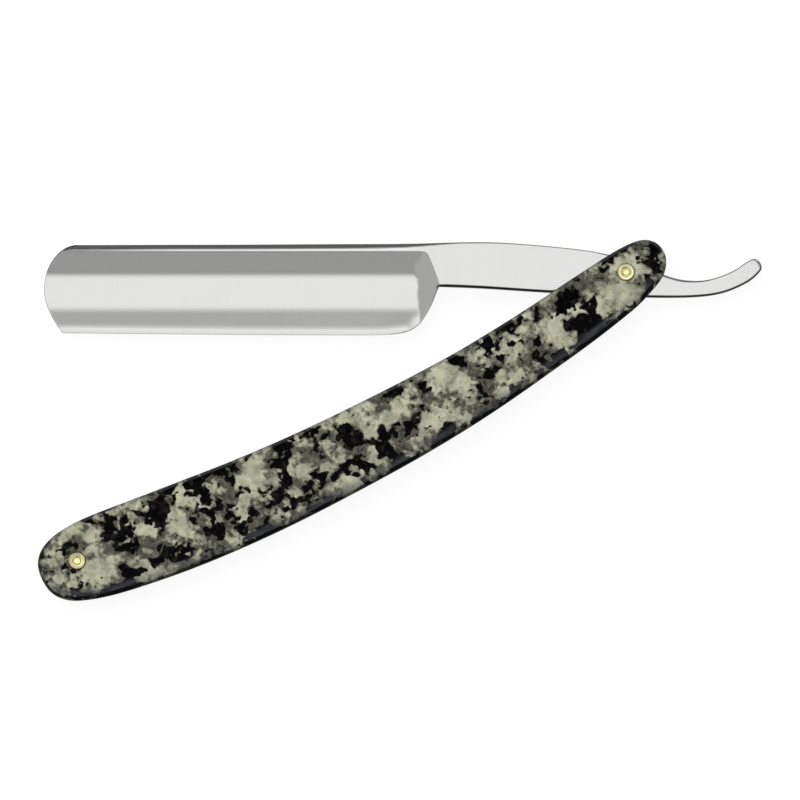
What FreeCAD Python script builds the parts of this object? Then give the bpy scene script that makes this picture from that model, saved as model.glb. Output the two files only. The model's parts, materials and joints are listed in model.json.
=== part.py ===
import FreeCAD, Part
import Sketcher
import math
import os
from FreeCAD import Vector, Placement, Rotation

# Straight razor lying on its side: a hollow-ground blade that swings on a brass
# pivot pin between two bowed scales, with a tapered wedge pinned between the
# scales at the far end.
#
# Row frame: X runs along the blade from the toe to the tail, Y across the razor
# from the cutting edge to the spine, Z up out of the table. The origin is the
# middle of the bottom of the bounding box. Every piece is drawn about its pin's
# centre or the pivot pin's, with the razor's mid-plane at Z = 0, and moved into
# the row frame by its own Placement. Of each pair, "front" is the upper piece.

doc = FreeCAD.newDocument("straight_razor")

# ---------------------------------------------------------------- dimensions
DIMENSIONS = [
    # the pivot pin's centre in the row frame
    ("pivot_x", 48.337),
    ("pivot_y", 31.792),
    ("pivot_z", 5.57),
    # the scales' chord, pivot pin to wedge pin
    ("handle_angle", 207.74),
    ("pin_pitch", 132.72),
    # hollow grind: the web is the thickness left at the wheels' lowest points
    ("spine_thick", 5.40),
    ("hollow_radius", 28.30),
    ("hollow_centre_y", -7.10),
    ("hollow_web", 0.40),
    ("hollow_corner", 3.80),
    ("shoulder_x", -39.95),
    # edge grind: the height is that of the wheel's lowest point
    ("bevel_radius", 72.00),
    ("bevel_centre_y", -20.00),
    ("bevel_height", -0.23),
    ("spine_round", 0.60),
    # half thicknesses of the tang, the pivot flat and the tail
    ("tang_half_start", 2.55),
    ("tang_half_end", 2.10),
    ("tang_flat_from", -39.00),
    ("tang_flat_to", -19.00),
    ("pivot_half", 1.70),
    ("tail_half_start", 1.25),
    ("tail_half_end", 1.03),
    ("bore_dia", 1.60),
    # scales: a gap is from the mid-plane to a scale's inner face
    ("scale_thick", 2.60),
    ("gap_pivot", 2.00),
    ("gap_middle", 2.65),
    ("gap_wedge", 1.20),
    ("pin_hole_dia", 1.56),
    ("outer_round", 1.30),
    ("inner_round", 0.30),
    # pins and washers
    ("pin_rad", 0.75),
    ("base_washer_rad", 1.75),
    ("base_washer_thick", 0.30),
    ("dome_washer_rad_pivot", 1.22),
    ("dome_washer_rad_wedge", 1.38),
    ("dome_washer_thick", 0.32),
    ("head_rad_pivot", 0.85),
    ("head_rad_wedge", 0.95),
    ("head_height", 0.35),
    ("thrust_rad", 3.20),
    ("thrust_inner_face", 1.72),
    # wedge
    ("wedge_inset", 0.15),
    ("wedge_front", 126.40),
]

sheet = doc.addObject("Spreadsheet::Sheet", "Dims")
for row, (alias, value) in enumerate(DIMENSIONS, start=1):
    sheet.set("A%d" % row, alias)
    sheet.set("B%d" % row, "%.6g" % value)
    sheet.setAlias("B%d" % row, alias)
doc.recompute()
DIM = {alias: float(sheet.get(alias)) for alias, _ in DIMENSIONS}

THROUGH = 30.0  # length of a symmetric cut that passes right through a piece
BODIES = []


# ------------------------------------------------------------------- helpers
def new_body(label):
    body = doc.addObject("PartDesign::Body", label)
    body.Label = label
    BODIES.append(body)
    return body


def origin_plane(body, role):
    return [item for item in body.Origin.OriginFeatures if item.Role == role][0]


def new_sketch(body, name, role, offset=None):
    sketch = body.newObject("Sketcher::SketchObject", name)
    sketch.AttachmentSupport = [(origin_plane(body, role), "")]
    sketch.MapMode = "FlatFace"
    if offset is not None:
        sketch.AttachmentOffset = Placement(offset, Rotation())
    return sketch


def flat(point):
    return Vector(point[0], point[1], 0)


def add_lines(sketch, points):
    for start, end in zip(points, points[1:]):
        sketch.addGeometry(Part.LineSegment(flat(start), flat(end)), False)


def add_arc(sketch, start, through, end):
    sketch.addGeometry(Part.Arc(flat(start), flat(through), flat(end)), False)


def spline_curve(points, start_direction, end_direction):
    curve = Part.BSplineCurve()
    curve.interpolate(
        Points=[flat(point) for point in points],
        InitialTangent=flat(start_direction),
        FinalTangent=flat(end_direction),
        Scale=False,
    )
    return curve


def add_spline(sketch, points, start_direction, end_direction):
    sketch.addGeometry(spline_curve(points, start_direction, end_direction), False)


def extrude(body, kind, name, sketch, length):
    """A symmetric Pad or Pocket; the length is a number or an expression."""
    feature = body.newObject("PartDesign::" + kind, name)
    feature.Profile = sketch
    feature.SideType = "Symmetric"
    if isinstance(length, str):
        feature.setExpression("Length", length)
    else:
        feature.Length = length
    body.Tip = feature
    return feature


def revolve(body, kind, name, sketch, axis):
    """A full-turn Revolution or Groove about one of the sketch's axes."""
    feature = body.newObject("PartDesign::" + kind, name)
    feature.Profile = sketch
    feature.ReferenceAxis = (sketch, [axis])
    feature.Angle = 360.0
    return feature


def drill(body, name, dia_alias, at_wedge=False):
    """A round hole right through the body, at the pivot pin or the wedge pin."""
    sketch = new_sketch(body, name + "_sketch", "XY_Plane")
    x = DIM["pin_pitch"] if at_wedge else 0.0
    circle = sketch.addGeometry(
        Part.Circle(Vector(x, 0, 0), Vector(0, 0, 1), DIM[dia_alias] / 2), False
    )
    index = sketch.addConstraint(Sketcher.Constraint("Diameter", circle, DIM[dia_alias]))
    sketch.renameConstraint(index, "dia")
    sketch.setExpression("Constraints.dia", "Dims." + dia_alias)
    if at_wedge:
        sketch.addConstraint(Sketcher.Constraint("PointOnObject", circle, 3, -1))
        index = sketch.addConstraint(Sketcher.Constraint("DistanceX", -1, 1, circle, 3, x))
        sketch.renameConstraint(index, "along")
        sketch.setExpression("Constraints.along", "Dims.pin_pitch")
    else:
        sketch.addConstraint(Sketcher.Constraint("Coincident", circle, 3, -1, 1))
    hole = extrude(body, "Pocket", name, sketch, THROUGH)
    doc.recompute()
    return hole


def rim_edges(shape, keep):
    """Names of the edges where an upright wall meets a near-flat face, for those
    whose middle point passes the test."""
    names = []
    for number, edge in enumerate(shape.Edges, start=1):
        middle = edge.valueAt((edge.FirstParameter + edge.LastParameter) / 2)
        if not keep(middle):
            continue
        normals_z = [
            abs(face.normalAt(*face.Surface.parameter(middle)).z)
            for face in shape.Faces
            if any(edge.isSame(other) for other in face.Edges)
        ]
        if len(normals_z) == 2 and min(normals_z) < 0.05 and max(normals_z) > 0.9:
            names.append("Edge%d" % number)
    return names


def round_rim(body, name, base, keep, radius_alias):
    fillet = body.newObject("PartDesign::Fillet", name)
    fillet.Base = (base, rim_edges(base.Shape, keep))
    fillet.setExpression("Radius", "Dims." + radius_alias)
    body.Tip = fillet
    doc.recompute()
    return fillet


def place(body, along_handle=False, at_wedge=False):
    """Move a body into the row frame: turned to lie along the handle's chord, or
    shifted along the chord to the wedge pin."""
    if along_handle:
        turn = Rotation(Vector(0, 0, 1), DIM["handle_angle"])
        body.Placement = Placement(Vector(0, 0, 0), turn)
        body.setExpression("Placement.Rotation.Angle", "Dims.handle_angle")
    for axis, function in (("x", "cos"), ("y", "sin")):
        expression = "Dims.pivot_" + axis
        if at_wedge:
            expression += " + Dims.pin_pitch * %s(Dims.handle_angle * 1 deg)" % function
        body.setExpression("Placement.Base." + axis, expression)
    body.setExpression("Placement.Base.z", "Dims.pivot_z")


# --------------------------------------------------------------------- blade
# corners of the outline, (x, y) with the spine towards +Y
TAIL_TIP_TOP = (27.21, 2.80)
TAIL_TIP_LOW = (29.05, 0.34)
HEEL_CORNER = (-40.0, -3.16)
EDGE_HEEL = (-56.0, -13.53)
TOE = (-120.70, -13.06)
NOSE_TOP = (-117.60, 5.80)

# runs of the outline: (x, y) points, start direction, end direction
BLADE_OUTLINE = [
    (  # spine, top of the tang and tail
        [
            NOSE_TOP, (-100.0, 5.85), (-80.0, 5.90), (-60.0, 6.01), (-44.0, 6.13),
            (-36.2, 6.35), (-29.0, 6.38), (-21.5, 5.97), (-14.5, 5.35), (-8.5, 4.66),
            (-4.0, 3.85), (0.2, 2.72), (4.2, 1.16), (8.2, -0.52), (11.5, -1.52),
            (14.6, -1.84), (17.6, -1.65), (21.0, -0.66), (24.3, 0.96), (26.2, 2.26),
            TAIL_TIP_TOP,
        ],
        (1.0, 0.0), (0.80, 0.52),
    ),
    (  # tip of the tail
        [TAIL_TIP_TOP, (27.95, 2.84), (28.70, 2.30), (29.18, 1.40), TAIL_TIP_LOW],
        (0.80, 0.30), (-0.60, -0.80),
    ),
    (  # underside of the tail and tang
        [
            TAIL_TIP_LOW, (27.2, -1.55), (24.6, -3.07), (21.6, -4.29), (17.6, -5.12),
            (13.0, -5.45), (8.0, -5.49), (2.0, -5.37), (-6.0, -5.02), (-14.0, -4.56),
            (-22.0, -4.08), (-31.0, -3.50), HEEL_CORNER,
        ],
        (-0.60, -0.80), (-1.0, 0.03),
    ),
    (  # heel
        [
            HEEL_CORNER, (-40.72, -5.0), (-41.52, -6.95), (-42.62, -8.95),
            (-44.10, -11.05), (-46.0, -12.45), (-49.0, -13.24), (-52.3, -13.48), EDGE_HEEL,
        ],
        (-0.35, -0.94), (-1.0, 0.0),
    ),
    (  # cutting edge
        [EDGE_HEEL, (-77.4, -13.46), (-98.8, -13.29), TOE],
        (-1.0, 0.0), (-1.0, 0.0115),
    ),
    (  # round nose
        [
            TOE, (-122.30, -10.85), (-123.55, -8.55), (-124.40, -6.20), (-124.69, -3.95),
            (-124.50, -1.60), (-123.85, 0.60), (-122.60, 2.82), (-120.90, 4.55),
            (-119.20, 5.50), NOSE_TOP,
        ],
        (-0.60, 0.80), (1.0, 0.0),
    ),
]

# stations of the taper along X
TAPER_START_X = -46.0
PIVOT_FLAT_FROM = -7.5
PIVOT_FLAT_TO = 6.5
TAIL_FLAT_FROM = 14.0
TAIL_FLAT_TO = 31.0
TAPER_WASTE_Z = 5.0  # outer height of the waste, clear of the blank
TAPER_CUT_WIDTH = 60.0

WHEEL_END_X = -135.0  # past the nose
WHEEL_HUB_RATIO = 0.35
BEVEL_SETBACK = 0.6  # edge grind stops this far short of the hollow's end


def check_cut(feature, volume_before, least):
    """Make sure a cut has taken off at least this much; return what is left."""
    doc.recompute()
    volume = feature.Shape.Volume
    assert volume < volume_before - least, feature.Label + " removed nothing"
    return volume


def draw_taper(sketch):
    """The waste above and below the tang and tail, seen along Y."""
    slope_tang = (DIM["tang_half_end"] - DIM["tang_half_start"]) / (
        DIM["tang_flat_to"] - DIM["tang_flat_from"]
    )
    slope_tail = (DIM["tail_half_end"] - DIM["tail_half_start"]) / (
        TAIL_FLAT_TO - TAIL_FLAT_FROM
    )
    for side in (1, -1):
        level = (1.0, 0.0)
        along_tang = (1.0, side * slope_tang)
        along_tail = (1.0, side * slope_tail)
        start = (TAPER_START_X, side * DIM["spine_thick"] / 2)
        tang_from = (DIM["tang_flat_from"], side * DIM["tang_half_start"])
        tang_to = (DIM["tang_flat_to"], side * DIM["tang_half_end"])
        pivot_from = (PIVOT_FLAT_FROM, side * DIM["pivot_half"])
        pivot_to = (PIVOT_FLAT_TO, side * DIM["pivot_half"])
        tail_from = (TAIL_FLAT_FROM, side * DIM["tail_half_start"])
        tail_to = (TAIL_FLAT_TO, side * DIM["tail_half_end"])
        waste_z = side * TAPER_WASTE_Z
        add_spline(sketch, [start, tang_from], level, along_tang)
        add_lines(sketch, [tang_from, tang_to])
        add_spline(sketch, [tang_to, pivot_from], along_tang, level)
        add_lines(sketch, [pivot_from, pivot_to])
        add_spline(sketch, [pivot_to, tail_from], level, along_tail)
        add_lines(
            sketch,
            [tail_from, tail_to, (TAIL_FLAT_TO, waste_z), (TAPER_START_X, waste_z), start],
        )


def grind(body, name, radius, centre_y, low_z, x_end):
    """A grinding wheel's cut: its axis runs along X above the blade, and its rim
    is rounded where the cut runs out at the shoulder."""
    corner = DIM["hollow_corner"]
    hub = -radius * WHEEL_HUB_RATIO
    sketch = new_sketch(body, name + "_rim", "XZ_Plane", Vector(0, low_z + radius, -centre_y))
    add_lines(
        sketch,
        [(x_end, hub), (WHEEL_END_X, hub), (WHEEL_END_X, -radius), (x_end - corner, -radius)],
    )
    rim = Part.Circle(Vector(x_end - corner, -radius + corner, 0), Vector(0, 0, 1), corner)
    sketch.addGeometry(Part.ArcOfCircle(rim, -math.pi / 2, 0.0), False)
    add_lines(sketch, [(x_end, -radius + corner), (x_end, hub)])
    return revolve(body, "Groove", name, sketch, "H_Axis")


def on_crown(point):
    """Whether a point is on the spine or the top of the tang and tail, leaving
    out the nose, the tail's tip and the bore's rim."""
    if point.x < -118.0:
        return False
    if point.x < -42.0:
        return point.y > 5.0
    return point.y > -2.0 and point.x < 27.2 and math.hypot(point.x, point.y) > 1.2


def make_blade():
    body = new_body("blade")
    sketch = new_sketch(body, "outline", "XY_Plane")
    for run in BLADE_OUTLINE:
        add_spline(sketch, *run)
    blank = extrude(body, "Pad", "blank", sketch, "Dims.spine_thick")
    doc.recompute()
    volume = blank.Shape.Volume

    sketch = new_sketch(body, "taper_profile", "XZ_Plane")
    draw_taper(sketch)
    taper = extrude(body, "Pocket", "taper", sketch, TAPER_CUT_WIDTH)
    volume = check_cut(taper, volume, 100.0)

    hollow = grind(
        body, "hollow_grind",
        radius=DIM["hollow_radius"],
        centre_y=DIM["hollow_centre_y"],
        low_z=DIM["hollow_web"] / 2,
        x_end=DIM["shoulder_x"],
    )
    volume = check_cut(hollow, volume, 500.0)
    bevel = grind(
        body, "edge_grind",
        radius=DIM["bevel_radius"],
        centre_y=DIM["bevel_centre_y"],
        low_z=DIM["bevel_height"],
        x_end=DIM["shoulder_x"] - BEVEL_SETBACK,
    )
    volume = check_cut(bevel, volume, 20.0)
    mirror = body.newObject("PartDesign::Mirrored", "other_side")
    mirror.Originals = [hollow, bevel]
    mirror.MirrorPlane = (origin_plane(body, "XY_Plane"), [""])
    body.Tip = mirror
    check_cut(mirror, volume, 500.0)

    bore = drill(body, "pivot_bore", "bore_dia")
    round_rim(body, "crown", bore, on_crown, "spine_round")
    place(body)


# -------------------------------------------------------------------- scales
# drawn with X along the chord from the pivot pin to the wedge pin and Y towards
# the convex back of the handle; the concave edge faces the blade
PIVOT_END = (-9.26, 0.0)
CONCAVE_MID = (51.0, -1.55)
WEDGE_END = (141.32, 0.6)
CONVEX_MID = (75.0, 14.92)

# runs of the outline, counter-clockwise: (x, y) points, start and end direction
CONCAVE_PIVOT_RUN = (
    [
        PIVOT_END, (-8.95, -1.9), (-7.9, -3.45), (-6.0, -4.52), (-3.2, -4.97), (0.5, -4.96),
        (6.0, -4.50), (13.0, -3.79), (21.0, -3.01), (30.0, -2.27), (40.0, -1.70), CONCAVE_MID,
    ],
    (0.0, -1.0), (1.0, 0.0),
)
CONCAVE_WEDGE_RUN = (
    [
        CONCAVE_MID, (62.0, -1.70), (73.0, -2.02), (84.0, -2.65), (95.0, -3.60),
        (106.0, -4.86), (117.0, -6.15), (124.0, -7.00), (128.5, -7.36), (132.5, -7.28),
        (136.0, -6.66), (138.8, -5.30), (140.6, -3.15), WEDGE_END,
    ],
    (1.0, 0.0), (0.0, 1.0),
)
CONVEX_WEDGE_RUN = (
    [
        WEDGE_END, (141.03, 3.0), (140.05, 5.0), (138.0, 6.97), (134.9, 8.48), (130.0, 10.02),
        (123.0, 11.43), (114.0, 12.80), (102.0, 14.02), (88.0, 14.77), CONVEX_MID,
    ],
    (0.0, 1.0), (-1.0, 0.0),
)
CONVEX_PIVOT_RUN = (
    [
        CONVEX_MID, (60.0, 14.73), (48.0, 14.15), (36.0, 13.08), (24.0, 11.53), (12.0, 9.80),
        (5.0, 8.52), (0.0, 7.34), (-3.6, 6.02), (-6.6, 4.55), (-8.5, 2.50), PIVOT_END,
    ],
    (-1.0, 0.0), (0.0, -1.0),
)
SCALE_OUTLINE = [CONCAVE_PIVOT_RUN, CONCAVE_WEDGE_RUN, CONVEX_WEDGE_RUN, CONVEX_PIVOT_RUN]

# bow of the inner face: (x, gap from the mid-plane)
BOW = [
    (7.0, DIM["gap_pivot"]), (13.0, 2.13), (20.0, 2.29), (32.0, 2.53),
    (44.0, DIM["gap_middle"]), (56.0, 2.62), (70.0, 2.44), (84.0, 2.18),
    (98.0, 1.82), (110.0, 1.48), (118.0, 1.27), (124.0, DIM["gap_wedge"]),
]

# the bowed strip before it is trimmed, and the frame that trims it
STRIP_FROM = (-14.0, DIM["gap_pivot"])
STRIP_TO = (146.0, DIM["gap_wedge"])
STRIP_WIDTH = 50.0
TRIM_FRAME = [(-30, -30), (160, -30), (160, 30), (-30, 30), (-30, -30)]


def middle_height(x):
    """Distance of a scale's middle surface from the mid-plane."""
    stations = [STRIP_FROM] + BOW + [STRIP_TO]
    for (x0, gap0), (x1, gap1) in zip(stations, stations[1:]):
        if x0 <= x <= x1:
            return gap0 + (gap1 - gap0) * (x - x0) / (x1 - x0) + DIM["scale_thick"] / 2


def on_outer_face(point):
    return abs(point.z) > middle_height(point.x)


def on_inner_face(point):
    return abs(point.z) < middle_height(point.x)


def draw_bow(sketch, side):
    inner, outer = [
        [(x, side * (gap + lift)) for x, gap in [STRIP_FROM] + BOW + [STRIP_TO]]
        for lift in (0.0, DIM["scale_thick"])
    ]
    add_lines(sketch, inner[:2])
    add_spline(sketch, inner[1:-1], (1.0, 0.0), (1.0, 0.0))
    add_lines(sketch, [inner[-2], inner[-1], outer[-1], outer[-2]])
    add_spline(sketch, outer[-2:0:-1], (-1.0, 0.0), (-1.0, 0.0))
    add_lines(sketch, [outer[1], outer[0], inner[0]])


def make_scale(label, side):
    body = new_body(label)
    sketch = new_sketch(body, label + "_bow", "XZ_Plane")
    draw_bow(sketch, side)
    extrude(body, "Pad", label + "_strip", sketch, STRIP_WIDTH)
    doc.recompute()

    sketch = new_sketch(body, label + "_outline", "XY_Plane")
    for run in SCALE_OUTLINE:
        add_spline(sketch, *run)
    add_lines(sketch, TRIM_FRAME)
    trim = extrude(body, "Pocket", label + "_trim", sketch, THROUGH)
    doc.recompute()

    outer = round_rim(body, label + "_outer_round", trim, on_outer_face, "outer_round")
    round_rim(body, label + "_inner_round", outer, on_inner_face, "inner_round")
    drill(body, label + "_pivot_hole", "pin_hole_dia")
    drill(body, label + "_wedge_hole", "pin_hole_dia", at_wedge=True)
    place(body, along_handle=True)


# --------------------------------------------------------------------- wedge
# drawn in the scales' frame, with its sides set in from their outline
INSET_SAMPLES = 400
SIDE_POINTS = 9  # points kept on each side
FRONT_MARGIN = 0.4  # the inset runs stop this far behind the front
FRONT_HOLLOW = 0.9  # depth of the hollow in the front face


def inset_run(run):
    """Points of an outline run moved inwards, behind the wedge's front."""
    curve = spline_curve(*run)
    first, last = curve.FirstParameter, curve.LastParameter
    points = []
    for k in range(INSET_SAMPLES + 1):
        parameter = first + (last - first) * k / INSET_SAMPLES
        tangent = curve.tangent(parameter)[0]
        # the outline runs with the material on its left
        inward = Vector(-tangent.y, tangent.x, 0)
        point = curve.value(parameter) + inward * DIM["wedge_inset"]
        if point.x > DIM["wedge_front"] + FRONT_MARGIN:
            points.append((point.x, point.y))
    return points


def thin(points):
    return [points[round(k * (len(points) - 1) / (SIDE_POINTS - 1))] for k in range(SIDE_POINTS)]


def extend_to_front(end, inner):
    """Where the line from an inner point through the end point meets the front."""
    front = DIM["wedge_front"]
    return (front, end[1] + (end[1] - inner[1]) * (end[0] - front) / (inner[0] - end[0]))


def make_wedge():
    body = new_body("wedge")
    sketch = new_sketch(body, "wedge_outline", "XY_Plane")
    concave = inset_run(CONCAVE_WEDGE_RUN)
    convex = inset_run(CONVEX_WEDGE_RUN)
    tip = (WEDGE_END[0] - DIM["wedge_inset"], WEDGE_END[1])
    concave_front = extend_to_front(concave[0], concave[5])
    convex_front = extend_to_front(convex[-1], convex[-6])
    hollow = (DIM["wedge_front"] + FRONT_HOLLOW, (convex_front[1] + concave_front[1]) / 2)
    concave_side = [concave_front] + thin(concave)[:-1] + [tip]
    convex_side = [tip] + thin(convex)[1:] + [convex_front]
    add_spline(sketch, concave_side, (1.0, -0.10), (0.0, 1.0))
    add_spline(sketch, convex_side, (0.0, 1.0), (-1.0, 0.19))
    add_arc(sketch, convex_front, hollow, concave_front)
    extrude(body, "Pad", "wedge_pad", sketch, "2 * Dims.gap_wedge")
    doc.recompute()
    drill(body, "wedge_pin_hole", "pin_hole_dia", at_wedge=True)
    place(body, along_handle=True)


# ----------------------------------------------------------- pins and washers
WASHER_BORE_RAD = DIM["pin_hole_dia"] / 2
HEAD_RIM = 0.10  # upright rim under a pin head's dome
BASE_RIM = 0.08  # upright rim of a base washer
BASE_ROUND_WIDTH = 0.22
BASE_ROUND_THROUGH = (0.065, 0.225)  # in from the rim, up from the seat
DOME_RIM = 0.06  # upright rim of a dome washer
DOME_FLAT = 0.05  # flat ring around its bore
DOME_THROUGH_OUT = 0.10  # the dome's middle point, outwards of mid-width
DOME_THROUGH_RISE = 0.80  # and its height as a share of the thickness
THRUST_BEVEL = 0.08


def make_turned(label, points, arcs, at_wedge=False, side=1):
    """A piece turned about the pin's axis: points are (radius, height), and arcs
    maps a segment's index to a point the curve passes through. Side -1 puts the
    profile below the mid-plane."""
    body = new_body(label)
    sketch = new_sketch(body, label + "_profile", "XZ_Plane")
    points = [(radius, side * z) for radius, z in points]
    for k, (start, end) in enumerate(zip(points, points[1:] + points[:1])):
        if k in arcs:
            radius, z = arcs[k]
            add_arc(sketch, start, (radius, side * z), end)
        else:
            add_lines(sketch, [start, end])
    body.Tip = revolve(body, "Revolution", label + "_turned", sketch, "V_Axis")
    place(body, at_wedge=at_wedge)


def make_pin(label, seat, head_rad, at_wedge):
    """A pin with a domed head at each end."""
    shank = DIM["pin_rad"]
    top = seat + DIM["head_height"]
    rim = seat + HEAD_RIM
    points = [
        (0.0, -top), (head_rad, -rim), (head_rad, -seat), (shank, -seat),
        (shank, seat), (head_rad, seat), (head_rad, rim), (0.0, top),
    ]
    rise = DIM["head_height"] - HEAD_RIM
    ball = (head_rad ** 2 + rise ** 2) / (2 * rise)
    drop = ball - math.sqrt(ball ** 2 - (head_rad / 2) ** 2)
    arcs = {0: (head_rad / 2, -top + drop), 6: (head_rad / 2, top - drop)}
    make_turned(label, points, arcs, at_wedge)


def make_base_washer(label, seat, side, at_wedge):
    bore, rad = WASHER_BORE_RAD, DIM["base_washer_rad"]
    top = seat + DIM["base_washer_thick"]
    points = [
        (bore, seat), (rad, seat), (rad, seat + BASE_RIM), (rad - BASE_ROUND_WIDTH, top),
        (bore, top),
    ]
    arcs = {2: (rad - BASE_ROUND_THROUGH[0], seat + BASE_ROUND_THROUGH[1])}
    make_turned(label, points, arcs, at_wedge, side)


def make_dome_washer(label, seat, rad, side, at_wedge):
    bore, thick = WASHER_BORE_RAD, DIM["dome_washer_thick"]
    top = seat + thick
    points = [
        (bore, seat), (rad, seat), (rad, seat + DOME_RIM), (bore + DOME_FLAT, top), (bore, top),
    ]
    arcs = {2: ((rad + bore) / 2 + DOME_THROUGH_OUT, seat + thick * DOME_THROUGH_RISE)}
    make_turned(label, points, arcs, at_wedge, side)


def make_thrust_washer(label, side):
    """A washer between the tang and a scale."""
    bore, rad = WASHER_BORE_RAD, DIM["thrust_rad"]
    inner, outer = DIM["thrust_inner_face"], DIM["gap_pivot"]
    points = [
        (bore, inner), (rad - THRUST_BEVEL, inner), (rad, inner + THRUST_BEVEL),
        (rad, outer), (bore, outer),
    ]
    make_turned(label, points, {}, side=side)


# --------------------------------------------------------------------- build
SIDES = ((1, "front"), (-1, "back"))

make_blade()
for side, tag in SIDES:
    make_scale(tag + "_scale", side)
make_wedge()
for pin, at_wedge in (("pivot", False), ("wedge", True)):
    scale_face = DIM["gap_" + pin] + DIM["scale_thick"]
    dome_seat = scale_face + DIM["base_washer_thick"]
    head_seat = dome_seat + DIM["dome_washer_thick"]
    make_pin(pin + "_pin", head_seat, DIM["head_rad_" + pin], at_wedge)
    for side, tag in SIDES:
        make_base_washer("%s_base_washer_%s" % (pin, tag), scale_face, side, at_wedge)
        dome_rad = DIM["dome_washer_rad_" + pin]
        make_dome_washer("%s_dome_washer_%s" % (pin, tag), dome_seat, dome_rad, side, at_wedge)
for side, tag in SIDES:
    make_thrust_washer("thrust_washer_" + tag, side)

# ------------------------------------------------------------ check and write
doc.recompute()
failed = [item.Label for item in doc.Objects if "Invalid" in item.State or "Error" in item.State]
if failed:
    raise RuntimeError("failed objects: %s" % ", ".join(failed))
for body in BODIES:
    if body.Shape.isNull() or not body.Shape.isValid() or not body.Shape.Solids:
        raise RuntimeError("bad shape: %s" % body.Label)
os.makedirs("parts", exist_ok=True)
for body in BODIES:
    body.Shape.exportStep("parts/%s.step" % body.Label)
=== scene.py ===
"""A straight razor, half open, lying flat with its middle plane at z = 0.

Shapes are drawn in millimetres about the pivot pin's centre and then put into the
row frame in metres.  The blade lies along x: its toe towards -x, its tail towards
+x, its spine towards +y and its cutting edge towards -y.  The handle has its own
frame: x along its chord from the pivot pin, y towards its convex back.
"""
import json
import math

import bmesh
import bpy
import numpy as np
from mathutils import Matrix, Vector


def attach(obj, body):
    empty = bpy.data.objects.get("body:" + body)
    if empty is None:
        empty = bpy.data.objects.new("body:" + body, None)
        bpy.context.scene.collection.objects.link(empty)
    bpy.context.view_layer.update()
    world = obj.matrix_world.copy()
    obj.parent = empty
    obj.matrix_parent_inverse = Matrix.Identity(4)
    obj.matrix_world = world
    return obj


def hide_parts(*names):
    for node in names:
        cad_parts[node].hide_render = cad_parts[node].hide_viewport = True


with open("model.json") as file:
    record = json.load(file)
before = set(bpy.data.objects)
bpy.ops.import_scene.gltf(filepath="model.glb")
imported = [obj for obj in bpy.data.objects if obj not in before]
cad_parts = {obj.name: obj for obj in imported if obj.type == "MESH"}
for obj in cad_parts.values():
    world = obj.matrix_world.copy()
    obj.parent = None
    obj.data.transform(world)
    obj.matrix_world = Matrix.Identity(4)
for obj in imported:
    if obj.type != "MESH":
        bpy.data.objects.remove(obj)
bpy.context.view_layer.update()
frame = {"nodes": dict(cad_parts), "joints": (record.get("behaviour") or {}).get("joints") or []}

MM = 0.001
JOINT = frame["joints"][0]
PIVOT = np.array(JOINT.get("pos_m") or JOINT["pos"], float)
CHORD_ANGLE = math.radians(207.74)
CHORD = np.array([math.cos(CHORD_ANGLE), math.sin(CHORD_ANGLE)])
TO_BACK = np.array([-math.sin(CHORD_ANGLE), math.cos(CHORD_ANGLE)])

PIVOT_PIN, WEDGE_PIN = 0.0, 132.72      # the pins' places along the chord
SCALE_THICKNESS = 2.6


def to_row(points):
    """Millimetres about the pivot to metres in the row frame."""
    return np.asarray(points, float) * MM + PIVOT


def handle_to_plan(points):
    """Handle coordinates to plan coordinates about the pivot."""
    points = np.asarray(points, float)
    plan = points.copy()
    for axis in (0, 1):
        plan[..., axis] = points[..., 0] * CHORD[axis] + points[..., 1] * TO_BACK[axis]
    return plan


# ------------------------------------------------------------------ curves
def hermite(t, length, start, start_slope, end, end_slope):
    """Cubic from start to end with the given slopes; t runs 0 to 1 over length."""
    return ((2 * t**3 - 3 * t**2 + 1) * start + (t**3 - 2 * t**2 + t) * length * start_slope
            + (-2 * t**3 + 3 * t**2) * end + (t**3 - t**2) * length * end_slope)


def smooth_curve(points, start, end, step=0.1):
    """A C2 cubic spline through points with clamped end directions, sampled
    about step apart; returns an (n, 2) array."""
    points = np.asarray(points, float)
    count = len(points)
    knots = np.concatenate([[0], np.cumsum(np.linalg.norm(np.diff(points, axis=0), axis=1))])
    matrix = np.zeros((count, count))
    target = np.zeros((count, 2))
    for i in range(1, count - 1):
        before, after = knots[i] - knots[i - 1], knots[i + 1] - knots[i]
        matrix[i, i - 1], matrix[i, i], matrix[i, i + 1] = after, 2 * (before + after), before
        target[i] = 3 * (after * (points[i] - points[i - 1]) / before
                         + before * (points[i + 1] - points[i]) / after)
    matrix[0, 0] = matrix[-1, -1] = 1
    target[0] = np.array(start, float) / np.linalg.norm(start)
    target[-1] = np.array(end, float) / np.linalg.norm(end)
    slopes = np.linalg.solve(matrix, target)
    samples = []
    for i in range(count - 1):
        length = knots[i + 1] - knots[i]
        pieces = max(2, int(math.ceil(length / step)))
        t = np.linspace(0, 1, pieces, endpoint=False)[:, None]
        samples.append(hermite(t, length, points[i], slopes[i], points[i + 1], slopes[i + 1]))
    samples.append(points[-1:])
    return np.concatenate(samples)


def joined(curves):
    """Curves laid end to end, with each shared point kept once."""
    return np.concatenate([curves[0]] + [curve[1:] for curve in curves[1:]])


def curve_length(curve):
    return np.linalg.norm(np.diff(curve, axis=0), axis=1).sum()


def stops_of(curves):
    """Fractions of the whole length at which each curve starts, and the end."""
    stops = [0.0]
    for curve in curves:
        stops.append(stops[-1] + curve_length(curve))
    return [stop / stops[-1] for stop in stops]


def fractions_of(curve):
    """The fraction of the curve's length at each of its points."""
    steps = np.linalg.norm(np.diff(curve, axis=0), axis=1)
    lengths = np.concatenate([[0], np.cumsum(steps)])
    return lengths / lengths[-1]


def points_at(curve, fractions):
    own = fractions_of(curve)
    return np.stack([np.interp(fractions, own, curve[:, axis]) for axis in (0, 1)], axis=-1)


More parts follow.
